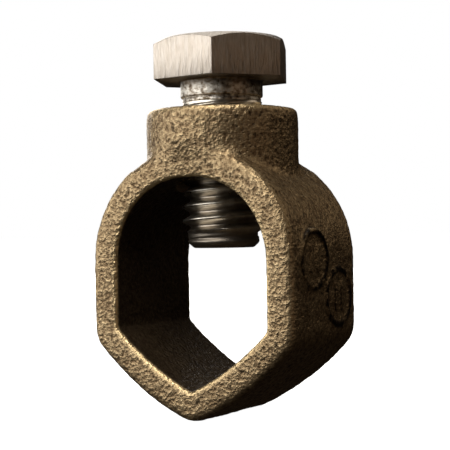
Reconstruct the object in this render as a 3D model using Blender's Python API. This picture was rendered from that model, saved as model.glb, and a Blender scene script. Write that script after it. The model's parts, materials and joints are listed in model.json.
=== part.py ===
"""Ground clamp: a cast bronze body with a pointed opening for the rod, and a hex bolt that clamps it.

Metres, +Z up along the bolt's axis, +Y along the rod, the origin under the bolt's axis at the
body's lowest point. The bolt is shown run in a little past the crown of the opening.
"""

import math

import bmesh
import bpy

MM = 0.001

# The body: a ring with an arched top and a pointed bottom, one wall thickness all round
OPENING_WIDTH = 19.0 * MM
RING_DEPTH = 16.2 * MM
WALL = 3.3 * MM
CORNER_ABOVE_POINT = 6.8 * MM       # where the straight sides turn into the curved flanks
CROWN_ABOVE_POINT = 23.55 * MM      # the top of the opening
ARCH_RADIUS = 9.1 * MM
FLANK_BULGE = 0.56 * MM             # how far each flank bows outwards between its ends
OUTER_ARRIS = 0.55 * MM
INNER_ARRIS = 0.25 * MM

# The boss on top, which is tapped for the bolt
BOSS_RADIUS = 8.73 * MM
BOSS_TAPER = 0.12 * MM              # how much smaller the radius is at the top
BOSS_TOP_ABOVE_POINT = 31.35 * MM
BOSS_ARRIS = 0.7 * MM
BLEND_LOW = 1.0 * MM                # the boss leaves the ring's flat faces this far above the crown
BLEND_HIGH = 4.2 * MM               # and is fully round from here up
BLEND_STEP = 0.02 * MM              # the slab's faces stay this far inside the ring's
COUNTERSINK_RADIUS = 5.8 * MM

# Two plain round pads cast on the right-hand side: across the ring, and above the point
PAD_CENTRES = ((-2.7 * MM, 14.45 * MM), (3.25 * MM, 10.07 * MM))
PAD_RADIUS = 3.3 * MM
PAD_RIM = 0.6 * MM
PAD_HEIGHT = 0.3 * MM

# The bolt: 3/8-16 thread, 9/16 across the flats, 3/4 long under the head
PITCH = 25.4 / 16 * MM
THREAD_CREST = 4.74 * MM
THREAD_ROOT = 3.8 * MM
CREST_FLAT = PITCH / 8
THREAD_GAP = 0.17 * MM              # clearance square to the thread's flanks
BOLT_LENGTH = 19.05 * MM
HEAD_ACROSS_FLATS = 14.2875 * MM
HEAD_HEIGHT = 4.73 * MM
HEAD_CHAMFER = math.radians(30)
HEAD_TOP_SHARE = 0.96               # the flat top's width as a share of the width across the flats
HEAD_TURN = math.radians(-67.4)     # where one corner of the head stands at rest
HEAD_GAP = 3.37 * MM                # from the boss to the head at rest
SHANK_RADIUS = 4.68 * MM
SHANK_HEIGHT = 2.6 * MM
SHANK_FILLET = 0.3 * MM
POINT_HEIGHT = 1.5 * MM
POINT_RADIUS = 3.45 * MM            # the flat end of the point
POINT_SHOULDER = 4.3 * MM           # where the point's chamfer steepens towards the crests

# The core that fills the bolt's axial hole
CORE_RADIUS = 1.5 * MM
CORE_LENGTH = 14.0 * MM
CORE_GAP = 0.3 * MM

ROUND_STEPS = 48
THREAD_STEPS = 32
ARC_STEP = math.radians(9)
OVERRUN = 2.0 * MM                  # how far a cutter reaches past what it cuts

POINT_Z = WALL
CORNER_Z = POINT_Z + CORNER_ABOVE_POINT
CROWN_Z = POINT_Z + CROWN_ABOVE_POINT
BOSS_TOP_Z = POINT_Z + BOSS_TOP_ABOVE_POINT
HEAD_Z = BOSS_TOP_Z + HEAD_GAP
TIP_Z = HEAD_Z - BOLT_LENGTH
SIDE_X = OPENING_WIDTH / 2 + WALL


def clear_scene():
    for old in list(bpy.data.objects):
        bpy.data.objects.remove(old)


def material(name, colour, roughness, metallic=1.0):
    finish = bpy.data.materials.new(name)
    finish.use_nodes = True
    shader = finish.node_tree.nodes["Principled BSDF"]
    shader.inputs["Base Color"].default_value = (*colour, 1)
    shader.inputs["Roughness"].default_value = roughness
    shader.inputs["Metallic"].default_value = metallic
    return finish


def add_object(name, mesh_edit, finish=None):
    """Turn a bmesh into an object whose faces point outwards; with no finish it is a hidden tool."""
    bmesh.ops.remove_doubles(mesh_edit, verts=mesh_edit.verts, dist=0.00001 * MM)
    bmesh.ops.recalc_face_normals(mesh_edit, faces=mesh_edit.faces)
    mesh = bpy.data.meshes.new(name)
    mesh_edit.to_mesh(mesh)
    mesh_edit.free()
    piece = bpy.data.objects.new(name, mesh)
    bpy.context.scene.collection.objects.link(piece)
    if finish:
        mesh.materials.append(finish)
        mesh.shade_smooth()
        mesh.set_sharp_from_angle(angle=math.radians(35))
    else:
        piece.hide_render = True
        piece.display_type = "WIRE"
    return piece


def combine(piece, tool, operation):
    step = piece.modifiers.new(tool.name, "BOOLEAN")
    step.operation = operation
    step.solver = "EXACT"
    step.object = tool


def skin(mesh_edit, rows, closed_rows, closed_end=False):
    """Faces between neighbouring rows of points, each row holding the same number of points."""
    verts = [[mesh_edit.verts.new(point) for point in row] for row in rows]
    spans = len(rows) if closed_end else len(rows) - 1
    count = len(rows[0])
    for i in range(spans):
        this_row, next_row = verts[i], verts[(i + 1) % len(rows)]
        for j in range(count if closed_rows else count - 1):
            k = (j + 1) % count
            mesh_edit.faces.new((this_row[j], this_row[k], next_row[k], next_row[j]))
    return verts


def turned(profile):
    """A solid of revolution about the bolt's axis; profile is (radius, height) from end to end."""
    mesh_edit = bmesh.new()
    rows = []
    for step in range(ROUND_STEPS):
        angle = 2 * math.pi * step / ROUND_STEPS
        rows.append([(r * math.cos(angle), r * math.sin(angle), z) for r, z in profile])
    verts = skin(mesh_edit, rows, closed_rows=False, closed_end=True)
    mesh_edit.faces.new([row[0] for row in verts])
    mesh_edit.faces.new([row[-1] for row in verts])
    return mesh_edit


def stations_on_arc(centre, radius, start, end):
    """Points along an arc in the XZ plane, each with its outward normal's angle."""
    steps = max(1, round(abs(end - start) / ARC_STEP))
    found = []
    for step in range(steps + 1):
        angle = start + (end - start) * step / steps
        point = (centre[0] + radius * math.cos(angle), centre[1] + radius * math.sin(angle))
        found.append((point, angle))
    return found


def opening_stations():
    """The opening's outline from the crown round the right side to the point, then the left side."""
    half = OPENING_WIDTH / 2
    arch_centre = (half - ARCH_RADIUS, CROWN_Z - ARCH_RADIUS)
    right = stations_on_arc(arch_centre, ARCH_RADIUS, math.radians(90), 0)
    slope = math.atan2(CORNER_ABOVE_POINT, half)
    chord = math.hypot(CORNER_ABOVE_POINT, half)
    flank_radius = (chord ** 2 / 4 + FLANK_BULGE ** 2) / (2 * FLANK_BULGE)
    spread = math.asin(chord / 2 / flank_radius)
    middle = slope - math.radians(90)
    reach = flank_radius - FLANK_BULGE
    flank_centre = (half / 2 - reach * math.cos(middle),
                    (POINT_Z + CORNER_Z) / 2 - reach * math.sin(middle))
    right += stations_on_arc((half, CORNER_Z), 0, 0, middle + spread)
    right += stations_on_arc(flank_centre, flank_radius, middle + spread, middle - spread)[1:]
    right += stations_on_arc((0, POINT_Z), 0, middle - spread, math.radians(-90))[1:]
    left = [((-x, z), math.pi - angle) for (x, z), angle in reversed(right[:-1])]
    return right + left


def outline_at(offset, y):
    """The opening's outline moved outwards by offset, in the plane at y."""
    return [(x + offset * math.cos(angle), y, z + offset * math.sin(angle))
            for (x, z), angle in opening_stations()]


def prism(sections):
    """A solid through several (offset, y) outlines, closed at both ends."""
    mesh_edit = bmesh.new()
    verts = skin(mesh_edit, [outline_at(*section) for section in sections], closed_rows=True)
    mesh_edit.faces.new(verts[0])
    mesh_edit.faces.new(verts[-1])
    bmesh.ops.remove_doubles(mesh_edit, verts=mesh_edit.verts, dist=0.001 * MM)
    return mesh_edit


def rounded_outer_sections():
    half = RING_DEPTH / 2
    sections = []
    for turn in (0, 45, 90):
        inset = OUTER_ARRIS * (1 - math.sin(math.radians(turn)))
        back = OUTER_ARRIS * (1 - math.cos(math.radians(turn)))
        sections.append((WALL - inset, -half + back))
    return sections + [(offset, -y) for offset, y in reversed(sections)]


def opening_sections():
    half = RING_DEPTH / 2
    flare = INNER_ARRIS + OVERRUN
    return [(flare, -half - OVERRUN), (0, -half + INNER_ARRIS),
            (0, half - INNER_ARRIS), (flare, half + OVERRUN)]


def boss_profile():
    top = BOSS_RADIUS - BOSS_TAPER
    foot = CROWN_Z - OVERRUN
    rim = math.radians(45)
    return [(BOSS_RADIUS, foot), (top, BOSS_TOP_Z - BOSS_ARRIS),
            (top - BOSS_ARRIS * (1 - math.cos(rim)), BOSS_TOP_Z - BOSS_ARRIS * (1 - math.sin(rim))),
            (top - BOSS_ARRIS, BOSS_TOP_Z)]


def blend_form():
    """The slab that fairs the boss into the ring's front and back faces."""
    half = RING_DEPTH / 2 - BLEND_STEP
    clear = BOSS_RADIUS + OVERRUN
    side = [(half, CROWN_Z - 2 * OVERRUN), (half, CROWN_Z + BLEND_LOW),
            (BOSS_RADIUS, CROWN_Z + BLEND_HIGH), (BOSS_RADIUS, BOSS_TOP_Z + OVERRUN)]
    outline = side + [(-y, z) for y, z in reversed(side)]
    mesh_edit = bmesh.new()
    verts = skin(mesh_edit, [[(x, y, z) for y, z in outline] for x in (-clear, clear)],
                 closed_rows=True)
    mesh_edit.faces.new(verts[0])
    mesh_edit.faces.new(verts[-1])
    return mesh_edit


def countersink_profile():
    low = COUNTERSINK_RADIUS - THREAD_ROOT
    return [(THREAD_ROOT, BOSS_TOP_Z - low), (COUNTERSINK_RADIUS + OVERRUN, BOSS_TOP_Z + OVERRUN)]


def thread(root, crest, crest_flat, low, high):
    """A right-hand threaded rod between two heights, its ridges where the bolt's and body's meet."""
    rise = (crest - root) * math.tan(math.radians(30))
    ridge = [(root, -rise - crest_flat / 2), (crest, -crest_flat / 2),
             (crest, crest_flat / 2), (root, rise + crest_flat / 2)]
    first = math.floor(low / PITCH) - 2
    last = math.ceil(high / PITCH) + 2
    mesh_edit = bmesh.new()
    rows = []
    for step in range((last - first) * THREAD_STEPS + 1):
        angle = 2 * math.pi * step / THREAD_STEPS
        lift = PITCH * (first + step / THREAD_STEPS)
        rows.append([(r * math.cos(angle), r * math.sin(angle), lift + z) for r, z in ridge])
    verts = skin(mesh_edit, rows, closed_rows=False)
    for step in range(len(rows) - 1 - THREAD_STEPS):
        above = step + THREAD_STEPS
        mesh_edit.faces.new((verts[step][-1], verts[step + 1][-1], verts[above + 1][0], verts[above][0]))
    for height, side in ((low, -1), (high, 1)):
        everything = mesh_edit.verts[:] + mesh_edit.edges[:] + mesh_edit.faces[:]
        bmesh.ops.bisect_plane(mesh_edit, geom=everything, plane_co=(0, 0, height),
                               plane_no=(0, 0, side), clear_outer=True, dist=0.00001 * MM)
        rim = [edge for edge in mesh_edit.edges
               if all(abs(vert.co.z - height) < 0.0001 * MM for vert in edge.verts)]
        bmesh.ops.contextual_create(mesh_edit, geom=rim)
    return mesh_edit


def thread_hole():
    """The tapped hole's cutter: the bolt's thread, larger by the gap on every side."""
    wider = 2 * THREAD_GAP * (1 / math.cos(math.radians(30)) - math.tan(math.radians(30)))
    return thread(THREAD_ROOT + THREAD_GAP, THREAD_CREST + THREAD_GAP, CREST_FLAT + wider,
                  CROWN_Z - OVERRUN, BOSS_TOP_Z + OVERRUN)


def pad(centre):
    """A raised plain ring on the right-hand side face."""
    y, above = centre
    mesh_edit = bmesh.new()
    section = ((PAD_RADIUS, -OUTER_ARRIS), (PAD_RADIUS, PAD_HEIGHT),
               (PAD_RADIUS - PAD_RIM, PAD_HEIGHT), (PAD_RADIUS - PAD_RIM, -OUTER_ARRIS))
    rows = []
    for step in range(ROUND_STEPS):
        angle = 2 * math.pi * step / ROUND_STEPS
        rows.append([(SIDE_X + lift, y + r * math.cos(angle), POINT_Z + above + r * math.sin(angle))
                     for r, lift in section])
    skin(mesh_edit, rows, closed_rows=True, closed_end=True)
    return mesh_edit


def clamp_body(bronze):
    body = add_object("clamp_body", prism(rounded_outer_sections()), bronze)
    boss = add_object("boss_form", turned(boss_profile()))
    combine(boss, add_object("blend_form", blend_form()), "INTERSECT")
    combine(body, boss, "UNION")
    combine(body, add_object("opening_form", prism(opening_sections())), "DIFFERENCE")
    combine(body, add_object("thread_form", thread_hole()), "DIFFERENCE")
    combine(body, add_object("countersink_form", turned(countersink_profile())), "DIFFERENCE")
    for number, centre in enumerate(PAD_CENTRES, start=1):
        combine(body, add_object("pad_form_%d" % number, pad(centre)), "UNION")
    return body


def shank_profile():
    """Thread run-out, plain shank and the fillet under the head, up into the head."""
    core = THREAD_ROOT - THREAD_GAP
    foot = HEAD_Z - SHANK_HEIGHT
    return [(core, foot - (SHANK_RADIUS - core)), (SHANK_RADIUS, foot),
            (SHANK_RADIUS, HEAD_Z - SHANK_FILLET), (SHANK_RADIUS + SHANK_FILLET, HEAD_Z),
            (SHANK_RADIUS, HEAD_Z + HEAD_HEIGHT / 2)]


def point_profile():
    """The turned form that the threaded end is trimmed to: a flat, a chamfer, then clear."""
    clear = THREAD_CREST + THREAD_GAP
    shoulder = TIP_Z + POINT_HEIGHT
    return [(POINT_RADIUS, TIP_Z), (POINT_SHOULDER, shoulder),
            (clear, shoulder + (clear - POINT_SHOULDER)), (clear, HEAD_Z)]


def hex_prism():
    mesh_edit = bmesh.new()
    corner = HEAD_ACROSS_FLATS / math.sqrt(3)
    rows = []
    for height in (HEAD_Z, HEAD_Z + HEAD_HEIGHT):
        turns = [HEAD_TURN + math.radians(60 * side) for side in range(6)]
        rows.append([(corner * math.cos(a), corner * math.sin(a), height) for a in turns])
    verts = skin(mesh_edit, rows, closed_rows=True)
    mesh_edit.faces.new(verts[0])
    mesh_edit.faces.new(verts[-1])
    return mesh_edit


def head_cone_profile():
    """The turned form that takes the head's top corners off."""
    top = HEAD_Z + HEAD_HEIGHT
    flat = HEAD_ACROSS_FLATS / 2 * HEAD_TOP_SHARE
    reach = HEAD_ACROSS_FLATS * 0.7
    return [(reach, HEAD_Z - OVERRUN), (reach, top - (reach - flat) * math.tan(HEAD_CHAMFER)),
            (flat, top)]


def hex_bolt(steel):
    """The head, then everything that joins it or is cut from it."""
    bolt = add_object("hex_bolt", hex_prism(), steel)
    combine(bolt, add_object("head_form", turned(head_cone_profile())), "INTERSECT")
    combine(bolt, add_object("shank_form", turned(shank_profile())), "UNION")
    threaded = add_object("bolt_thread_form", thread(
        THREAD_ROOT, THREAD_CREST, CREST_FLAT, TIP_Z - OVERRUN, HEAD_Z - SHANK_HEIGHT - SHANK_FILLET))
    combine(threaded, add_object("point_form", turned(point_profile())), "INTERSECT")
    combine(bolt, threaded, "UNION")
    hole = CORE_RADIUS + CORE_GAP
    ends = [(hole, TIP_Z - OVERRUN), (hole, TIP_Z + CORE_LENGTH + CORE_GAP)]
    combine(bolt, add_object("core_hole_form", turned(ends)), "DIFFERENCE")
    return bolt


def bolt_core(steel):
    ends = [(CORE_RADIUS, TIP_Z), (CORE_RADIUS, TIP_Z + CORE_LENGTH)]
    return add_object("bolt_core", turned(ends), steel)


def main():
    clear_scene()
    bronze = material("bronze", (0.42, 0.29, 0.16), 0.45)
    steel = material("bolt_metal", (0.62, 0.55, 0.47), 0.3)
    clamp_body(bronze)
    hex_bolt(steel)
    bolt_core(steel)


main()
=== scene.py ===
import json
import math

import bmesh
import bpy
from mathutils import Matrix, Vector, noise


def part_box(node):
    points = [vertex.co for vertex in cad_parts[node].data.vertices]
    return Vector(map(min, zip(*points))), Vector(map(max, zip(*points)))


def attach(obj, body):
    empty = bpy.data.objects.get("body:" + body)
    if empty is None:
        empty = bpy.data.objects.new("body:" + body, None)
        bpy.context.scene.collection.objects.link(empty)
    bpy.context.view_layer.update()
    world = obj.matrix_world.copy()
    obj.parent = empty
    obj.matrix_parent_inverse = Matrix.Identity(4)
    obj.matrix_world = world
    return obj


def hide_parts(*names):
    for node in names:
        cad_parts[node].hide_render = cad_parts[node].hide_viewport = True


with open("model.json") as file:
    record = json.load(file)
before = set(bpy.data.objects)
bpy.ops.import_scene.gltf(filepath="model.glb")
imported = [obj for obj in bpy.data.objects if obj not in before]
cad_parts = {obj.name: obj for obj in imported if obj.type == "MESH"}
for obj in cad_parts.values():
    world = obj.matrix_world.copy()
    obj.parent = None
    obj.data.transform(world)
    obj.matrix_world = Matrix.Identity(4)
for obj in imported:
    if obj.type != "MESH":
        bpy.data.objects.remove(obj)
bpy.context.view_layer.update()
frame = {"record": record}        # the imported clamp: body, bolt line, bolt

# A ground rod clamp: a rough bronze casting with a pointed opening, and a hex bolt in its boss
perMetre = 1000.0        # pieces are modelled in millimetres and shrunk to metres when finished
pitch = 25.4 / 16        # one turn of the bolt
overrun = 3.0            # how far a cutter reaches past what it cuts
turnSteps = 96           # flats round a drilled hole

# Places, all read from the frame
bodyLow, bodyHigh = [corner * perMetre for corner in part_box("clamp_body")]
boltLow, boltHigh = [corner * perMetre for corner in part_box("hex_bolt")]
mountPlace = {mount["name"]: Vector(mount["pos_m"]) * perMetre for mount in frame["record"]["mounts"]}
ringHalfDepth = abs(mountPlace["front_face"].y)
sideX = -bodyLow.x
bossTop = bodyHigh.z
tipZ = boltLow.z
headTop = boltHigh.z
print("frame loaded, clamp", round(bodyHigh.z, 2), "mm high to the boss")


# Small helpers

def newObject(name, bm):
    mesh = bpy.data.meshes.new(name)
    bm.to_mesh(mesh)
    bm.free()
    piece = bpy.data.objects.new(name, mesh)
    bpy.context.scene.collection.objects.link(piece)
    return piece


def applyModifiers(piece):
    graph = bpy.context.evaluated_depsgraph_get()
    graph.update()
    finished = bpy.data.meshes.new_from_object(piece.evaluated_get(graph))
    piece.modifiers.clear()
    piece.data = finished
    return piece


def combine(piece, tool, operation):
    step = piece.modifiers.new("combine", "BOOLEAN")
    step.operation = operation
    step.solver = "EXACT"
    step.object = tool
    applyModifiers(piece)
    bpy.data.objects.remove(tool)
    return piece


def cleanMesh(piece, closest=0.003):
    # closes up the slivers that cutting leaves, so every face has an area
    bm = bmesh.new()
    bm.from_mesh(piece.data)
    bmesh.ops.remove_doubles(bm, verts=bm.verts, dist=closest)
    for _ in range(2):
        bmesh.ops.dissolve_degenerate(bm, dist=closest, edges=bm.edges)
        bmesh.ops.triangulate(bm, faces=bm.faces, quad_method="BEAUTY", ngon_method="BEAUTY")
    bm.to_mesh(piece.data)
    bm.free()


def finishPiece(piece, body, nodes, material, crease=40):
    # millimetres to metres, smooth shading with sharp corners kept, then the frame's bookkeeping
    piece.data.transform(Matrix.Scale(1 / perMetre, 4))
    piece.data.materials.clear()
    piece.data.materials.append(material)
    piece.data.shade_smooth()
    if crease:
        piece.data.set_sharp_from_angle(angle=math.radians(crease))
    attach(piece, body)
    if nodes:
        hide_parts(*nodes)
    print(piece.name, len(piece.data.polygons), "faces")
    return piece


def smoothVerts(bm, verts, passes):
    for _ in range(passes):
        bmesh.ops.smooth_vert(bm, verts=verts, factor=0.5, use_axis_x=True, use_axis_y=True,
                              use_axis_z=True)


def smoothStep(value, low, high):
    share = min(max((value - low) / (high - low), 0.0), 1.0)
    return share * share * (3 - 2 * share)


def closeEnd(bm, height):
    # fills the open rim at a height
    rim = [edge for edge in bm.edges if edge.is_boundary
           and all(abs(vert.co.z - height) < 0.001 for vert in edge.verts)]
    bmesh.ops.contextual_create(bm, geom=rim)


def turned(profile, steps):
    # a profile of (radius, height) points spun once round the bolt's axis, its two ends closed
    bm = bmesh.new()
    verts = [bm.verts.new((radius, 0, height)) for radius, height in profile]
    edges = [bm.edges.new(pair) for pair in zip(verts, verts[1:])]
    bmesh.ops.spin(bm, geom=verts + edges, cent=(0, 0, 0), axis=(0, 0, 1),
                   angle=math.tau, steps=steps, use_merge=True)
    for height in (profile[0][1], profile[-1][1]):
        closeEnd(bm, height)
    bmesh.ops.recalc_face_normals(bm, faces=bm.faces)
    return bm


def roundedCorner(before, corner, after, radius, steps):
    # the points of an arc that rounds one corner of a (radius, height) profile
    corner = Vector(corner)
    inWay = (Vector(before) - corner).normalized()
    outWay = (Vector(after) - corner).normalized()
    half = inWay.angle(outWay) / 2
    reach = radius / math.tan(half)
    centre = corner + (inWay + outWay).normalized() * (radius / math.sin(half))
    first = (corner + inWay * reach - centre).normalized()
    last = (corner + outWay * reach - centre).normalized()
    return [tuple(centre + first.slerp(last, step / steps) * radius)
            for step in range(steps + 1)]


def shaderSetup(name):
    material = bpy.data.materials.new(name)
    material.use_nodes = True
    return material, material.node_tree.nodes, material.node_tree.links


def objectNoise(nodes, links, coords, scale, detail=3.0, stretch=(1, 1, 1), roughness=0.55):
    # a noise in the object's own metres; stretch draws it out along an axis
    place = nodes.new("ShaderNodeMapping")
    place.inputs["Scale"].default_value = stretch
    links.new(coords.outputs["Object"], place.inputs["Vector"])
    texture = nodes.new("ShaderNodeTexNoise")
    texture.inputs["Scale"].default_value = scale
    texture.inputs["Detail"].default_value = detail
    texture.inputs["Roughness"].default_value = roughness
    links.new(place.outputs["Vector"], texture.inputs["Vector"])
    return texture


def colourRamp(nodes, links, source, stops):
    ramp = nodes.new("ShaderNodeValToRGB")
    while len(ramp.color_ramp.elements) < len(stops):
        ramp.color_ramp.elements.new(0.5)
    for element, (place, colour) in zip(ramp.color_ramp.elements, stops):
        element.position = place
        element.color = (*colour, 1)
    links.new(source, ramp.inputs["Fac"])
    return ramp


def rangeMap(nodes, links, source, low, high, fromLow=0.0, fromHigh=1.0):
    # low where the source is at fromLow, high where it is at fromHigh, and no further either way
    spread = nodes.new("ShaderNodeMapRange")
    spread.inputs["From Min"].default_value = fromLow
    spread.inputs["From Max"].default_value = fromHigh
    spread.inputs["To Min"].default_value = low
    spread.inputs["To Max"].default_value = high
    links.new(source, spread.inputs["Value"])
    return spread.outputs["Result"]


def mixColours(nodes, links, factor, first, second):
    # the mix node's colour sockets are its inputs 6 and 7 and its output 2
    mix = nodes.new("ShaderNodeMix")
    mix.data_type = "RGBA"
    links.new(factor, mix.inputs[0])
    for socket, colour in ((mix.inputs[6], first), (mix.inputs[7], second)):
        if isinstance(colour, bpy.types.NodeSocket):
            links.new(colour, socket)
        else:
            socket.default_value = (*colour, 1)
    return mix.outputs[2]


def axisHeight(nodes, links, coords):
    # the height along the bolt, in the object's own metres
    split = nodes.new("ShaderNodeSeparateXYZ")
    links.new(coords.outputs["Object"], split.inputs["Vector"])
    return split.outputs["Z"]


def bumpFrom(nodes, links, height, distance, strength=1.0, under=None):
    bump = nodes.new("ShaderNodeBump")
    bump.inputs["Distance"].default_value = distance
    bump.inputs["Strength"].default_value = strength
    links.new(height, bump.inputs["Height"])
    if under:
        links.new(under, bump.inputs["Normal"])
    return bump.outputs["Normal"]


# Finishes

castFinish = {
    "pit": (0.13, 0.083, 0.043),
    "skin": (0.335, 0.238, 0.133),
    "crest": (0.60, 0.455, 0.265),
    # worn arrises, and the painted highlight on the opening's rims
    "wornAndGlint": (0.95, 0.73, 0.41),
    "stain": (0.18, 0.115, 0.06),
    # dark pits, and the painted shade in the opening and at the rings
    "pitAndShade": (0.012, 0.0065, 0.0035),
    "metallic": 0.9,
    "roughLow": 0.32,
    "roughHigh": 0.56,
    "grainScale": 2700,
    "grainRise": 0.00016,
    "fineScale": 8000,
    "fineRise": 0.00003,
    "stainScale": 260,
    "pitScale": 1900,
}


def castBronze():
    # sand-cast skin: the grain, the arris wear with a painted highlight on the opening's rims, and the
    # painted shade of the opening and of the rings come with the mesh, from roughenCasting
    material, nodes, links = shaderSetup("castBronze")
    shader = nodes["Principled BSDF"]
    coords = nodes.new("ShaderNodeTexCoord")
    layers = {}
    for layer in ("grain", "wearAndRimGlint", "inside", "markShade"):
        attribute = nodes.new("ShaderNodeAttribute")
        attribute.attribute_name = layer
        layers[layer] = attribute.outputs["Fac"]
    lumps = objectNoise(nodes, links, coords, castFinish["grainScale"], 1.5, roughness=0.5)
    fine = objectNoise(nodes, links, coords, castFinish["fineScale"], 2)
    broad = objectNoise(nodes, links, coords, castFinish["stainScale"], 3)
    pits = objectNoise(nodes, links, coords, castFinish["pitScale"], 1)
    # colour: dark in the hollows of the grain, lighter on its lumps
    height = rangeMap(nodes, links, lumps.outputs["Fac"], 0, 1, 0.25, 0.75)
    tone = nodes.new("ShaderNodeMath")
    tone.operation = "MULTIPLY_ADD"
    tone.inputs[1].default_value = 0.55
    links.new(height, tone.inputs[0])
    links.new(rangeMap(nodes, links, layers["grain"], 0, 0.4), tone.inputs[2])
    ramp = colourRamp(nodes, links, tone.outputs[0], [
        (0.16, castFinish["pit"]), (0.42, castFinish["skin"]), (0.78, castFinish["crest"])])
    colour = ramp.outputs["Color"]
    # then each layer over the last: stains, dark pits, the opening's painted shade, the wear with its
    # painted rim highlight, and the rings' painted shade
    for share, over in (
            (rangeMap(nodes, links, broad.outputs["Fac"], 0, 0.35, 0.5, 0.75), "stain"),
            (rangeMap(nodes, links, pits.outputs["Fac"], 0.75, 0, 0.27, 0.37), "pitAndShade"),
            (rangeMap(nodes, links, layers["inside"], 0, 0.9), "pitAndShade"),
            (rangeMap(nodes, links, layers["wearAndRimGlint"], 0, 0.85), "wornAndGlint"),
            (rangeMap(nodes, links, layers["markShade"], 0, 0.97), "pitAndShade")):
        colour = mixColours(nodes, links, share, colour, castFinish[over])
    links.new(colour, shader.inputs["Base Color"])
    # the opening's walls, painted dark as shade, hardly shine
    shine = rangeMap(nodes, links, layers["inside"], castFinish["metallic"], 0.15)
    links.new(shine, shader.inputs["Metallic"])
    gloss = rangeMap(nodes, links, layers["inside"], 0.5, 0.12)
    links.new(gloss, shader.inputs["Specular IOR Level"])
    rough = nodes.new("ShaderNodeMath")
    rough.operation = "MULTIPLY"
    skin = rangeMap(nodes, links, height, castFinish["roughHigh"], castFinish["roughLow"])
    links.new(skin, rough.inputs[0])
    links.new(rangeMap(nodes, links, layers["wearAndRimGlint"], 1, 0.8), rough.inputs[1])
    links.new(rough.outputs[0], shader.inputs["Roughness"])
    under = bumpFrom(nodes, links, lumps.outputs["Fac"], castFinish["grainRise"])
    over = bumpFrom(nodes, links, fine.outputs["Fac"], castFinish["fineRise"], 0.8, under)
    links.new(over, shader.inputs["Normal"])
    return material


cutFinish = {
    "tone": (0.52, 0.37, 0.19),
    "shade": (0.20, 0.13, 0.06),
    "rough": (0.24, 0.42),
    "ringScale": 1500,
    "ringStretch": (0.08, 0.08, 6),        # the tool's marks run round the hole
    "ringRise": 0.00002,
}


def cutBronze():
    # fresh metal where the casting was drilled, countersunk and tapped
    material, nodes, links = shaderSetup("cutBronze")
    shader = nodes["Principled BSDF"]
    coords = nodes.new("ShaderNodeTexCoord")
    toolMarks = objectNoise(nodes, links, coords, cutFinish["ringScale"], 2, cutFinish["ringStretch"])
    rings = toolMarks.outputs["Fac"]
    tone = mixColours(nodes, links, rings, cutFinish["tone"], cutFinish["shade"])
    links.new(tone, shader.inputs["Base Color"])
    shader.inputs["Metallic"].default_value = 1.0
    links.new(rangeMap(nodes, links, rings, *cutFinish["rough"]), shader.inputs["Roughness"])
    links.new(bumpFrom(nodes, links, rings, cutFinish["ringRise"]), shader.inputs["Normal"])
    return material


headFinish = {
    "light": (0.64, 0.59, 0.535),
    "dark": (0.47, 0.415, 0.355),
    "soil": (0.34, 0.275, 0.215),
    # painted shade for the head's underside
    "undersideShade": (0.09, 0.07, 0.05),
    "rough": (0.26, 0.46),
    "streakRise": 0.00011,
    "streakScale": 4200,
    "streakStretch": (1, 1, 0.13),
    "soilScale": 600,
    "undersideShadeHeight": 0.06,         # mm above the head's underside that the painted shade reaches
}


def drawnSteel():
    # the head: drawn bar, streaked along the bolt, its underside painted dark as shade
    material, nodes, links = shaderSetup("drawnSteel")
    shader = nodes["Principled BSDF"]
    coords = nodes.new("ShaderNodeTexCoord")
    bar = objectNoise(nodes, links, coords, headFinish["streakScale"], 3, headFinish["streakStretch"])
    streaks = bar.outputs["Fac"]
    soil = objectNoise(nodes, links, coords, headFinish["soilScale"], 3, (1, 1, 0.6))
    tone = mixColours(nodes, links, rangeMap(nodes, links, streaks, 0, 1, 0.3, 0.7),
                      headFinish["dark"], headFinish["light"])
    soiled = mixColours(nodes, links, rangeMap(nodes, links, soil.outputs["Fac"], 0, 0.5, 0.55, 0.8),
                        tone, headFinish["soil"])
    # painted shade over the head's underside
    under = rangeMap(nodes, links, axisHeight(nodes, links, coords), 0.8, 0,
                     headFoot / perMetre, (headFoot + headFinish["undersideShadeHeight"]) / perMetre)
    colour = mixColours(nodes, links, under, soiled, headFinish["undersideShade"])
    links.new(colour, shader.inputs["Base Color"])
    shader.inputs["Metallic"].default_value = 1.0
    links.new(rangeMap(nodes, links, streaks, *headFinish["rough"]), shader.inputs["Roughness"])
    links.new(bumpFrom(nodes, links, streaks, headFinish["streakRise"]), shader.inputs["Normal"])
    return material


threadFinish = {
    "bright": (1.0, 0.95, 0.85),
    "dull": (0.72, 0.66, 0.56),
    # painted shade for the thread's roots
    "root": (0.30, 0.255, 0.20),
    "point": (0.34, 0.30, 0.25),
    "pointRough": 0.16,
    "rough": (0.22, 0.40),
    "patchScale": 1100,
    "patchRise": 0.00004,
    "depth": (0.0037, 0.0045),   # radii in metres, from full painted shade at the root to none at the crest
}


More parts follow.
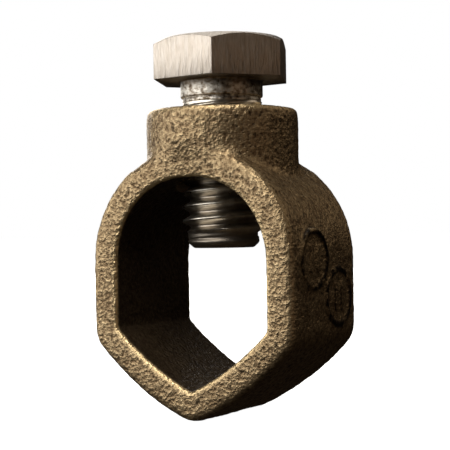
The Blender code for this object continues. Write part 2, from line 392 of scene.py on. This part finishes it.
def rolledSteel():
    # the shank: rolled thread, bright on its crests, its roots painted dark as shade, and dull and
    # darker round its point
    material, nodes, links = shaderSetup("rolledSteel")
    shader = nodes["Principled BSDF"]
    coords = nodes.new("ShaderNodeTexCoord")
    flatten = nodes.new("ShaderNodeVectorMath")
    flatten.operation = "MULTIPLY"
    flatten.inputs[1].default_value = (1, 1, 0)
    links.new(coords.outputs["Object"], flatten.inputs[0])
    radius = nodes.new("ShaderNodeVectorMath")
    radius.operation = "LENGTH"
    links.new(flatten.outputs["Vector"], radius.inputs[0])
    rolled = objectNoise(nodes, links, coords, threadFinish["patchScale"], 4, (1, 1, 1.6))
    patches = rolled.outputs["Fac"]
    tone = mixColours(nodes, links, rangeMap(nodes, links, patches, 0, 1, 0.35, 0.65),
                      threadFinish["dull"], threadFinish["bright"])
    # painted shade in the thread's roots, full at the root and none at the crest
    depth = rangeMap(nodes, links, radius.outputs["Value"], 1, 0, *threadFinish["depth"])
    rootShaded = mixColours(nodes, links, depth, tone, threadFinish["root"])
    point = rangeMap(nodes, links, axisHeight(nodes, links, coords), 0.8, 0,
                     (tipZ + 1.5) / perMetre, (tipZ + 2.1) / perMetre)
    colour = mixColours(nodes, links, point, rootShaded, threadFinish["point"])
    links.new(colour, shader.inputs["Base Color"])
    shader.inputs["Metallic"].default_value = 1.0
    rough = nodes.new("ShaderNodeMath")
    rough.operation = "MULTIPLY_ADD"
    rough.inputs[1].default_value = threadFinish["pointRough"]
    links.new(point, rough.inputs[0])
    links.new(rangeMap(nodes, links, patches, *threadFinish["rough"]), rough.inputs[2])
    links.new(rough.outputs[0], shader.inputs["Roughness"])
    links.new(bumpFrom(nodes, links, patches, threadFinish["patchRise"], 0.6), shader.inputs["Normal"])
    return material


neckFinish = {
    "bright": (0.86, 0.82, 0.75),
    "middle": (0.42, 0.365, 0.30),
    "dark": (0.12, 0.09, 0.062),
    "rough": (0.28, 0.55),
    "patchScale": 1500,
    "dentRise": 0.00012,
    "angleShadeDepth": (1.0, 0.35),    # mm below the head, where the painted shade begins and where it is full
}


def wornSteel():
    # the collar under the head: rubbed bright in patches, painted dark as shade in the angle under the
    # head
    material, nodes, links = shaderSetup("wornSteel")
    shader = nodes["Principled BSDF"]
    coords = nodes.new("ShaderNodeTexCoord")
    rubbed = objectNoise(nodes, links, coords, neckFinish["patchScale"], 3, (1, 1, 1.3), 0.6)
    patches = rubbed.outputs["Fac"]
    tone = colourRamp(nodes, links, patches, [
        (0.34, neckFinish["dark"]), (0.44, neckFinish["middle"]), (0.58, neckFinish["bright"])])
    # painted shade in the angle under the head
    low, high = [(headFoot - below) / perMetre for below in neckFinish["angleShadeDepth"]]
    angle = rangeMap(nodes, links, axisHeight(nodes, links, coords), 0, 0.8, low, high)
    angleShaded = mixColours(nodes, links, angle, tone.outputs["Color"], neckFinish["dark"])
    links.new(angleShaded, shader.inputs["Base Color"])
    shader.inputs["Metallic"].default_value = 1.0
    links.new(rangeMap(nodes, links, patches, *neckFinish["rough"]), shader.inputs["Roughness"])
    links.new(bumpFrom(nodes, links, patches, neckFinish["dentRise"]), shader.inputs["Normal"])
    return material


# The cast body

castBody = {
    "wall": 3.3,
    "openingHalf": 9.5,
    "cornerRise": 6.8,          # the side's foot above the seat's point
    "crownRise": 23.55,         # the opening's top above the seat's point
    "archRadius": 9.1,
    "flankBulge": 0.56,         # how far each flank bows outwards between its ends
    "outerArris": 0.9,
    "innerArris": 0.42,
    "bossRadius": 8.7,
    "bossTaper": 0.12,
    "bossArris": 0.5,
    "blendLow": 0.8,            # the boss leaves the ring's flat face this far above the crown
    "blendHigh": 4.6,           # and is fully round from here up
    "holeRadius": 5.15,
    "sinkRadius": 5.9,
    "voxel": 0.215,
    "filletPasses": 36,         # smoothing where the boss meets the ring
    "inset": 0.015,             # keeps the grain's mean height inside the frame's box
    "grainSize": 0.5,           # grain, coarse lumps and waves: how wide and how deep
    "grainDepth": 0.045,
    "coarseSize": 1.1,
    "coarseDepth": 0.022,
    "waveSize": 4.5,
    "waveDepth": 0.06,
    "barHeight": 0.16,
}
seatZ = castBody["wall"]
cornerZ = seatZ + castBody["cornerRise"]
crownZ = seatZ + castBody["crownRise"]


def extrudeVert(bm, vert, reach):
    grown = bmesh.ops.extrude_vert_indiv(bm, verts=[vert])
    bmesh.ops.translate(bm, verts=grown["verts"], vec=reach)
    return grown["verts"][0]


def sweepVert(bm, vert, centre, degrees, steps):
    swept = bmesh.ops.spin(bm, geom=[vert], cent=centre, axis=(0, 1, 0),
                           angle=math.radians(degrees), steps=steps)
    return [item for item in swept["geom_last"] if isinstance(item, bmesh.types.BMVert)][0]


def ringOutline(grow, y):
    # half the outline from the crown clockwise to the seat's point, then its mirror image, filled
    half = castBody["openingHalf"]
    rise = castBody["cornerRise"]
    bulge = castBody["flankBulge"]
    chord = math.hypot(half, rise)
    slope = math.degrees(math.atan2(rise, half))
    flankRadius = (chord * chord / 4 + bulge * bulge) / (2 * bulge)
    spread = math.degrees(math.asin(chord / 2 / flankRadius))
    lean = math.radians(slope - 90)
    reach = flankRadius - bulge
    flankCentre = (half / 2 - reach * math.cos(lean), y,
                   (seatZ + cornerZ) / 2 - reach * math.sin(lean))
    archX = half - castBody["archRadius"]
    archZ = crownZ - castBody["archRadius"]
    bm = bmesh.new()
    end = bm.verts.new((0, y, crownZ + grow))
    end = extrudeVert(bm, end, (archX, 0, 0))
    end = sweepVert(bm, end, (archX, y, archZ), 90, 40)
    end = extrudeVert(bm, end, (0, 0, cornerZ - archZ))
    if grow:
        end = sweepVert(bm, end, (half, y, cornerZ), 90 - slope - spread, 12)
    end = sweepVert(bm, end, flankCentre, 2 * spread, 14)
    if grow:
        sweepVert(bm, end, (0, y, seatZ), slope - spread, 8)
    bmesh.ops.mirror(bm, geom=bm.verts[:] + bm.edges[:], matrix=Matrix(), axis="X", merge_dist=0.001)
    bmesh.ops.remove_doubles(bm, verts=bm.verts, dist=0.001)
    bmesh.ops.contextual_create(bm, geom=bm.edges[:])
    return bm


def ringPrism(grow, reach):
    # the outline, grown outwards by a wall, drawn out to reach either side of the middle
    bm = ringOutline(grow, -reach)
    grown = bmesh.ops.extrude_face_region(bm, geom=bm.faces[:])
    moved = [item for item in grown["geom"] if isinstance(item, bmesh.types.BMVert)]
    bmesh.ops.translate(bm, verts=moved, vec=(0, 2 * reach, 0))
    bmesh.ops.recalc_face_normals(bm, faces=bm.faces)
    return bm


def ringBlank():
    bm = ringPrism(castBody["wall"], ringHalfDepth)
    rims = [e for e in bm.edges if abs(e.verts[0].co.y - e.verts[1].co.y) < 0.001]
    bmesh.ops.bevel(bm, geom=rims, offset=castBody["outerArris"], segments=6, profile=0.5,
                    affect="EDGES", material=-1)
    return newObject("castBody", bm)


def bossBlank():
    foot = crownZ - 0.9
    rows = 14
    wide = castBody["bossRadius"]
    top = wide - castBody["bossTaper"]
    arris = castBody["bossArris"]
    profile = [(wide, foot + (bossTop - arris - foot) * row / rows) for row in range(rows)]
    profile += roundedCorner((wide, foot), (top, bossTop), (0, bossTop), arris, 8)
    bm = turned(profile, 128)
    # the boss stands proud of the ring's faces at the top and runs into them lower down
    for vert in bm.verts:
        share = smoothStep(vert.co.z, crownZ + castBody["blendLow"], crownZ + castBody["blendHigh"])
        limit = ringHalfDepth - 0.03 + (wide - ringHalfDepth + 0.04) * share
        vert.co.y = min(max(vert.co.y, -limit), limit)
    return newObject("bossBlank", bm)


castRings = {
    "places": ((-2.7, 14.45), (3.25, 10.07)),        # across the ring, and above the seat's point
    "radius": 3.1,
    "bead": 0.24,
    "shadeCover": (0.26, 0.52),        # how far beside the bead's middle the painted shade is full, and ends
    "barAcross": 0.75,
    "barHalfWidth": 0.24,
    "barHalfLength": 1.35,
    "barEase": 0.12,
    "patch": 0.9,
}


def castRing(place):
    # a plain raised ring on the right-hand side
    bm = bmesh.new()
    centre = Vector((sideX - castBody["inset"], place[0], seatZ + place[1]))
    start = Matrix.Translation(centre + Vector((0, 0, castRings["radius"])))
    upright = Matrix.Rotation(math.radians(90), 4, "X")
    bmesh.ops.create_circle(bm, cap_ends=False, segments=12, radius=castRings["bead"],
                            matrix=start @ upright)
    bmesh.ops.spin(bm, geom=bm.verts[:] + bm.edges[:], cent=centre, axis=(1, 0, 0),
                   angle=math.tau, steps=64, use_merge=True)
    bmesh.ops.recalc_face_normals(bm, faces=bm.faces)
    return newObject("castRing", bm)


def ringShade(place):
    # painted shade lies over and beside a raised ring's bead
    shade = 0
    for y, rise in castRings["places"]:
        away = abs(math.hypot(place.y - y, place.z - seatZ - rise) - castRings["radius"])
        shade = max(shade, 1 - smoothStep(away, *castRings["shadeCover"]))
    return shade


def ringBars(place):
    # two plain upright bars inside each ring: how high the casting stands there, from 0 to 1
    low = castRings["barHalfWidth"] - castRings["barEase"]
    high = castRings["barHalfWidth"] + castRings["barEase"]
    height = 0
    for y, rise in castRings["places"]:
        side = abs(abs(place.y - y) - castRings["barAcross"])
        along = max(abs(place.z - seatZ - rise) - castRings["barHalfLength"], 0)
        height = max(height, 1 - smoothStep(math.hypot(side, along), low, high))
    return height


def bevelInnerRims(piece):
    # the opening's two rims: edges on the ring's flat faces whose other side is a wall
    bm = bmesh.new()
    bm.from_mesh(piece.data)
    rims = []
    for edge in bm.edges:
        flat = all(abs(abs(vert.co.y) - ringHalfDepth) < 0.01 for vert in edge.verts)
        if len(edge.link_faces) != 2 or not flat:
            continue
        turns = sorted(abs(face.normal.y) for face in edge.link_faces)
        if turns[0] < 0.2 and turns[1] > 0.98:
            rims.append(edge)
    bmesh.ops.bevel(bm, geom=rims, offset=castBody["innerArris"], segments=3, profile=0.5,
                    affect="EDGES", material=-1)
    bm.to_mesh(piece.data)
    bm.free()


def surfaceGrain(point):
    # sand-cast skin: small rounded lumps, coarser ones and broad waves, each from -1 to 1
    fine = noise.noise(point / castBody["grainSize"])
    coarse = noise.noise(point / castBody["coarseSize"] + Vector((7, 3, 5)))
    wave = noise.noise(point / castBody["waveSize"] + Vector((1, 9, 4)))
    return fine, coarse, wave


def openingWalls(place, way):
    # the opening's walls, which face the bolt's line, are painted dark as shade up to their rim, and
    # the rim gets a painted highlight
    level = min(max(place.z, cornerZ), crownZ - castBody["archRadius"])
    middle = Vector((0, place.y, level))
    inwards = way.dot((middle - place).normalized())
    forward = smoothStep(abs(way.y), 0.15, 0.4)
    # painted shade over the opening's walls
    inside = smoothStep(inwards, 0.3, 0.5) * (1 - forward)
    # painted highlight along the opening's rims on the front and back faces
    rim = smoothStep(inwards, 0.15, 0.4) * forward
    return inside, rim


def roughenCasting(piece):
    bm = bmesh.new()
    bm.from_mesh(piece.data)
    smoothVerts(bm, bm.verts, 2)
    waist = [vert for vert in bm.verts if crownZ + 0.2 < vert.co.z < crownZ + 4.0
             and 6.3 < math.hypot(vert.co.x, vert.co.y) < 10.8]
    smoothVerts(bm, waist, castBody["filletPasses"])
    bm.normal_update()
    # how far each point stands out of a smoother shape shows the arrises that handling has worn
    settled = [vert.co.copy() for vert in bm.verts]
    directions = [vert.normal.copy() for vert in bm.verts]
    smoothVerts(bm, bm.verts, 14)
    layers = {name: bm.verts.layers.float.new(name) for name in ("grain", "wearAndRimGlint", "inside", "markShade")}
    for vert, place, way in zip(bm.verts, settled, directions):
        proud = (place - vert.co).dot(way)
        fine, coarse, wave = surfaceGrain(place)
        onSide = place.x > sideX - 1
        bars = ringBars(place) if onSide else 0
        height = (castBody["grainDepth"] * fine + castBody["coarseDepth"] * coarse
                  + castBody["waveDepth"] * wave + castBody["barHeight"] * bars)
        vert.co = place + way * (height - castBody["inset"])
        vert.co = [min(max(value, low), high)
                   for value, low, high in zip(vert.co, bodyLow, bodyHigh)]
        handled = smoothStep(proud, 0.02, 0.1) * (1 if place.z > bossTop - 1 else 0.3)
        inside, rim = openingWalls(place, way)
        # random patches in which the rings' painted shade shows
        shadeCover = smoothStep(noise.noise(place / castRings["patch"]), -0.45, 0.05) if onSide else 0
        vert[layers["grain"]] = min(max(0.5 + 0.55 * fine + 0.35 * coarse, 0), 1)
        # arrises worn by handling, plus the painted highlight on the opening's rims
        vert[layers["wearAndRimGlint"]] = max(handled, rim)
        # painted shade over the opening's walls
        vert[layers["inside"]] = inside
        # painted shade over the rings' beads and along the bars' flanks
        vert[layers["markShade"]] = max(ringShade(place), 4 * bars * (1 - bars)) * shadeCover
    bm.to_mesh(piece.data)
    bm.free()


def makeCastBody():
    piece = ringBlank()
    combine(piece, bossBlank(), "UNION")
    combine(piece, newObject("opening", ringPrism(0, ringHalfDepth + overrun)), "DIFFERENCE")
    bevelInnerRims(piece)
    hole = castBody["holeRadius"]
    sink = castBody["sinkRadius"]
    drill = [(hole, crownZ - 2), (hole, bossTop - (sink - hole)), (sink + 1, bossTop + 1)]
    combine(piece, newObject("drill", turned(drill, turnSteps)), "DIFFERENCE")
    for place in castRings["places"]:
        combine(piece, castRing(place), "UNION")
    remesh = piece.modifiers.new("voxel", "REMESH")
    remesh.mode = "VOXEL"
    remesh.voxel_size = castBody["voxel"]
    applyModifiers(piece)
    roughenCasting(piece)
    return finishPiece(piece, "body", ["clamp_body"], castBronze(), crease=0)


# Threads

boltThread = {"crest": 4.72, "root": 3.82, "crestFlat": pitch / 8, "steps": 72, "points": 16}
holeThread = {"crest": 4.95, "root": 4.1, "crestFlat": pitch / 4, "steps": 48, "points": 10}
threadLift = 0.5        # where the helix starts, the same for both
cornerEase = 0.16       # how much of the tooth's height is averaged to round its corners


def toothRadius(height, thread):
    # a 60 degree tooth with its corners eased, as rolling leaves them
    total = 0
    samples = 9
    for index in range(samples):
        away = abs(height + (index / (samples - 1) - 0.5) * cornerEase)
        away = min(away, pitch - away)
        drop = max(away - thread["crestFlat"] / 2, 0) / math.tan(math.radians(30))
        total += max(thread["crest"] - drop, thread["root"])
    return total / samples


def threadRod(thread, low, high):
    # one tooth swept up the helix, each turn welded to the next, cut square at both ends
    bm = bmesh.new()
    points = thread["points"]
    start = math.floor(low / pitch) - 2
    turns = math.ceil(high / pitch) + 2 - start
    verts = []
    for index in range(points + 1):
        height = pitch * (index / points - 0.5)
        place = (toothRadius(height, thread), 0, start * pitch + height + threadLift)
        verts.append(bm.verts.new(place))
    edges = [bm.edges.new(pair) for pair in zip(verts, verts[1:])]
    bmesh.ops.spin(bm, geom=verts + edges, cent=(0, 0, 0), axis=(0, 0, 1), angle=math.tau * turns,
                   steps=thread["steps"] * turns, dvec=(0, 0, pitch / thread["steps"]))
    bmesh.ops.remove_doubles(bm, verts=bm.verts, dist=0.01)
    for height, side in ((low, -1), (high, 1)):
        bmesh.ops.bisect_plane(bm, geom=bm.verts[:] + bm.edges[:] + bm.faces[:], dist=0.0001,
                               plane_co=(0, 0, height), plane_no=(0, 0, side), clear_outer=True)
        closeEnd(bm, height)
    bmesh.ops.recalc_face_normals(bm, faces=bm.faces)
    return bm


tappedHole = {"blank": 5.3, "lip": 6.0, "sink": 5.75}        # radii


def makeTappedHole():
    # the drilled, tapped and countersunk bore, left bright inside the casting
    lip = tappedHole["lip"]
    blank = tappedHole["blank"]
    profile = [(blank, crownZ - 2), (blank, bossTop - (lip - blank)), (lip, bossTop - 0.05),
               (lip, bossTop)]
    piece = newObject("tappedHole", turned(profile, turnSteps))
    combine(piece, newObject("opening", ringPrism(0, ringHalfDepth + overrun)), "DIFFERENCE")
    tap = threadRod(holeThread, crownZ - overrun, bossTop + 1)
    combine(piece, newObject("tap", tap), "DIFFERENCE")
    sink = tappedHole["sink"]
    cone = [(2, bossTop - (sink - 2)), (sink + 1, bossTop + 1)]
    combine(piece, newObject("countersink", turned(cone, turnSteps)), "DIFFERENCE")
    cleanMesh(piece)
    return finishPiece(piece, "body", [], cutBronze())


# The bolt

hexBolt = {
    "acrossFlats": 14.2875,
    "cornerTurn": -67.4,         # where one corner of the head stands at rest
    "headHeight": 4.73,
    "topShare": 0.96,            # the flat top's width as a share of the width across the flats
    "chamfer": 30,
    "edge": 0.16,
    "collar": 4.72,
    "collarLength": 1.95,
    "collarRound": 0.22,
    "neck": 4.52,
    "neckLength": 2.5,
    "groove": 0.09,
    "fillet": 0.25,
    "pointFlat": 3.35,
    "pointShoulder": 4.08,       # just small enough to pass the hole's thread
    "pointHeight": 0.68,
    "recess": 1.55,
    "recessDepth": 0.8,
}
headFoot = headTop - hexBolt["headHeight"]


def makeBoltHead():
    bm = bmesh.new()
    corner = hexBolt["acrossFlats"] / math.sqrt(3)
    lift = Matrix.Translation((0, 0, headTop - hexBolt["headHeight"] / 2))
    turn = Matrix.Rotation(math.radians(hexBolt["cornerTurn"] - 90), 4, "Z")
    bmesh.ops.create_cone(bm, cap_ends=True, segments=6, radius1=corner, radius2=corner,
                          depth=hexBolt["headHeight"], matrix=lift @ turn)
    piece = newObject("boltHead", bm)
    flat = hexBolt["acrossFlats"] / 2 * hexBolt["topShare"]
    reach = hexBolt["acrossFlats"] * 0.7
    fall = (reach - flat) * math.tan(math.radians(hexBolt["chamfer"]))
    form = turned([(reach, headFoot - 2), (reach, headTop - fall), (flat, headTop)], 180)
    combine(piece, newObject("chamferForm", form), "INTERSECT")
    ease = piece.modifiers.new("ease", "BEVEL")
    ease.width = hexBolt["edge"]
    ease.segments = 3
    ease.limit_method = "ANGLE"
    ease.angle_limit = math.radians(20)
    applyModifiers(piece)
    return finishPiece(piece, "bolt", [], drawnSteel(), crease=30)


def lineThrough(height, places):
    # the radius at a height along a profile of (height, radius) points
    for (low, first), (high, last) in zip(places, places[1:]):
        if height <= high:
            return first + (last - first) * max(height - low, 0) / (high - low)
    return places[-1][1]


def boltPointProfile(shoulder):
    # (height, radius) from the flat end up its cone to the plain length above it
    flat = hexBolt["pointFlat"]
    plain = hexBolt["pointShoulder"]
    return [(tipZ, flat), (tipZ + 0.1, flat + 0.2), (shoulder - 0.2, plain - 0.12), (shoulder, plain),
            (shoulder + 0.15, plain)]


def makeBoltShank():
    # the thread, cut down to an outer profile and filled up to an inner one: the point and the run-out
    shoulder = tipZ + hexBolt["pointHeight"]
    neckFoot = headFoot - hexBolt["neckLength"]
    cut = boltThread["crest"] + 0.02        # clear of the crests, so it leaves them whole
    fill = boltThread["root"] - 0.1         # and clear of the roots
    under = hexBolt["neck"]
    plain = hexBolt["pointShoulder"]
    point = boltPointProfile(shoulder)
    outer = point + [(shoulder + 0.35, plain - 0.04), (shoulder + 1.0, plain + 0.02),
                     (shoulder + 1.9, cut), (neckFoot - 0.5, cut), (neckFoot, under + 0.08)]
    inner = point + [(shoulder + 0.35, plain - 0.16), (shoulder + 0.95, plain - 0.16),
                     (shoulder + 1.3, fill), (neckFoot - 1.3, fill), (neckFoot - 0.25, under),
                     (neckFoot, under)]
    bm = threadRod(boltThread, tipZ, neckFoot)
    for vert in bm.verts:
        radius = math.hypot(vert.co.x, vert.co.y)
        wanted = max(radius, lineThrough(vert.co.z, inner))
        wanted = min(wanted, lineThrough(vert.co.z, outer))
        vert.co.xy *= wanted / radius
    # a shallow round recess in the point, filled by its own piece
    end = min(bm.faces, key=lambda face: face.calc_center_median().z)
    for lift in (0, hexBolt["recessDepth"]):
        grown = bmesh.ops.extrude_face_region(bm, geom=[end])
        bmesh.ops.delete(bm, geom=[end], context="FACES_ONLY")
        for item in grown["geom"]:
            if isinstance(item, bmesh.types.BMVert):
                item.co.xy *= hexBolt["recess"] / math.hypot(item.co.x, item.co.y)
                item.co.z += lift
            elif isinstance(item, bmesh.types.BMFace):
                end = item
    bmesh.ops.recalc_face_normals(bm, faces=bm.faces)
    piece = newObject("boltShank", bm)
    return finishPiece(piece, "bolt", ["hex_bolt"], rolledSteel(), crease=50)


def makeBoltNeck():
    # the plain neck above the thread's run-out, a fine groove, and the collar under the head
    neckFoot = headFoot - hexBolt["neckLength"]
    collarFoot = headFoot - hexBolt["collarLength"]
    collar = hexBolt["collar"]
    neck = hexBolt["neck"]
    groove = hexBolt["groove"]
    fillet = hexBolt["fillet"]
    start = (neck - 0.6, neckFoot)
    profile = [start]
    profile += roundedCorner(start, (neck, neckFoot), (neck, collarFoot), 0.1, 4)
    profile += [(neck, collarFoot - 2 * groove), (neck - groove, collarFoot - groove),
                (neck - groove, collarFoot)]
    profile += roundedCorner(profile[-1], (collar, collarFoot), (collar, headFoot),
                             hexBolt["collarRound"], 6)
    for angle in [math.radians(90 * step / 5) for step in range(6)]:
        profile.append((collar + fillet * (1 - math.cos(angle)),
                        headFoot - fillet * (1 - math.sin(angle))))
    profile.append((collar, headFoot + 1))
    piece = newObject("boltNeck", turned(profile, 128))
    return finishPiece(piece, "bolt", [], wornSteel(), crease=50)


pointDish = {"radius": 1.52, "rim": 0.02, "deep": 0.16, "top": 0.75}        # heights above the tip


def makePointCentre():
    # the dished middle of the point, which rides with the bolt's travel
    rim = tipZ + pointDish["rim"]
    dish = [(0.3, tipZ + pointDish["deep"]), (0.9, tipZ + 0.1), (1.35, rim),
            (pointDish["radius"], rim), (pointDish["radius"], tipZ + pointDish["top"])]
    piece = newObject("pointCentre", turned(dish, 64))
    return finishPiece(piece, "bolt_line", ["bolt_core"], rolledSteel(), crease=50)


# Floor, lights and camera

def makeFloor():
    bm = bmesh.new()
    bmesh.ops.create_grid(bm, x_segments=1, y_segments=1, size=4)
    floor = newObject("floor", bm)
    material, nodes, _ = shaderSetup("paleFloor")
    shader = nodes["Principled BSDF"]
    shader.inputs["Base Color"].default_value = (0.9, 0.9, 0.9, 1)
    shader.inputs["Roughness"].default_value = 0.9
    shader.inputs["Specular IOR Level"].default_value = 0.0
    shader.inputs["Emission Color"].default_value = (1, 1, 1, 1)
    shader.inputs["Emission Strength"].default_value = 1.0
    floor.data.materials.append(material)
    floor.visible_diffuse = False
    floor.visible_glossy = False


# each light: degrees round the clamp from its front, degrees up, watts, colour
studioLights = {
    "keyLight": (-45, 12, 0.62, (1, 0.97, 0.93)),
    "frontLight": (-15, 20, 0.62, (1, 0.97, 0.92)),
    "leftLight": (-78, 5, 0.4, (1, 0.97, 0.92)),
    "backLight": (-135, 20, 0.9, (1, 0.97, 0.92)),
    "topLight": (-150, 65, 0.45, (1, 0.97, 0.92)),
    "highLight": (12, 62, 1.15, (1, 0.94, 0.86)),
    "rightLight": (75, 6, 0.058, (1, 0.66, 0.42)),
    "highRightLight": (134, 32, 0.13, (1, 0.82, 0.62)),
}
studio = {
    "lightSize": 0.3,
    "lightAway": 0.5,
    "dim": (1.0, 0.76, 0.55),
    "dimStrength": 0.012,
}


def areaLight(name, azimuth, elevation, power, colour):
    # a square light that faces the clamp
    turn = math.radians(azimuth)
    rise = math.radians(elevation)
    middle = Vector((0, 0, bossTop / perMetre * 0.6))
    level = Vector((math.sin(turn), -math.cos(turn), 0)) * math.cos(rise)
    reach = level + Vector((0, 0, math.sin(rise)))
    lamp = bpy.data.lights.new(name, "AREA")
    lamp.size = studio["lightSize"]
    lamp.energy = power
    lamp.color = colour
    holder = bpy.data.objects.new(name, lamp)
    holder.location = middle + reach * studio["lightAway"]
    holder.rotation_euler = (-reach).to_track_quat("-Z", "Y").to_euler()
    bpy.context.scene.collection.objects.link(holder)


def makeLights():
    for name, values in studioLights.items():
        areaLight(name, *values)
    # a white backdrop that lights the clamp only dimly
    world = bpy.data.worlds.new("studio")
    world.use_nodes = True
    nodes, links = world.node_tree.nodes, world.node_tree.links
    path = nodes.new("ShaderNodeLightPath")
    mix = nodes.new("ShaderNodeMixShader")
    dim = nodes.new("ShaderNodeBackground")
    white = nodes.new("ShaderNodeBackground")
    dim.inputs["Color"].default_value = (*studio["dim"], 1)
    dim.inputs["Strength"].default_value = studio["dimStrength"]
    white.inputs["Color"].default_value = (1, 1, 1, 1)
    white.inputs["Strength"].default_value = 1.0
    links.new(path.outputs["Is Camera Ray"], mix.inputs["Fac"])
    links.new(dim.outputs["Background"], mix.inputs[1])
    links.new(white.outputs["Background"], mix.inputs[2])
    links.new(mix.outputs["Shader"], nodes["World Output"].inputs["Surface"])
    bpy.context.scene.world = world
    bpy.context.scene.view_settings.view_transform = "Standard"


# metres and degrees
cameraView = {
    "azimuth": 29.9,
    "distance": 0.14654,
    "height": 0.02089,
    "yaw": 0.145,
    "pitch": 0.262,
    "roll": -0.944,
    "lens": 102.2,
    "shift": 0.0098,
}


def makeCamera():
    around = math.radians(cameraView["azimuth"])
    heading = around + math.radians(cameraView["yaw"])
    tilt = math.radians(cameraView["pitch"])
    roll = math.radians(cameraView["roll"])
    ahead = Vector((-math.sin(heading), math.cos(heading), 0))
    forward = ahead * math.cos(tilt) + Vector((0, 0, math.sin(tilt)))
    level = Vector((math.cos(heading), math.sin(heading), 0))
    rise = level.cross(forward)
    right = level * math.cos(roll) + rise * math.sin(roll)
    up = rise * math.cos(roll) - level * math.sin(roll)
    lens = bpy.data.cameras.new("camera")
    lens.lens = cameraView["lens"]
    lens.shift_x = cameraView["shift"]
    lens.clip_start = 0.005
    holder = bpy.data.objects.new("camera", lens)
    turn = Matrix((right, up, -forward)).transposed().to_4x4()
    place = Vector((math.sin(around), -math.cos(around), 0)) * cameraView["distance"]
    place.z = cameraView["height"]
    holder.matrix_world = Matrix.Translation(place) @ turn
    bpy.context.scene.collection.objects.link(holder)
    bpy.context.scene.camera = holder


makeCastBody()
makeTappedHole()
makeBoltHead()
makeBoltShank()
makeBoltNeck()
makePointCentre()
makeFloor()
makeLights()
makeCamera()
print("clamp, floor, lights and camera made")
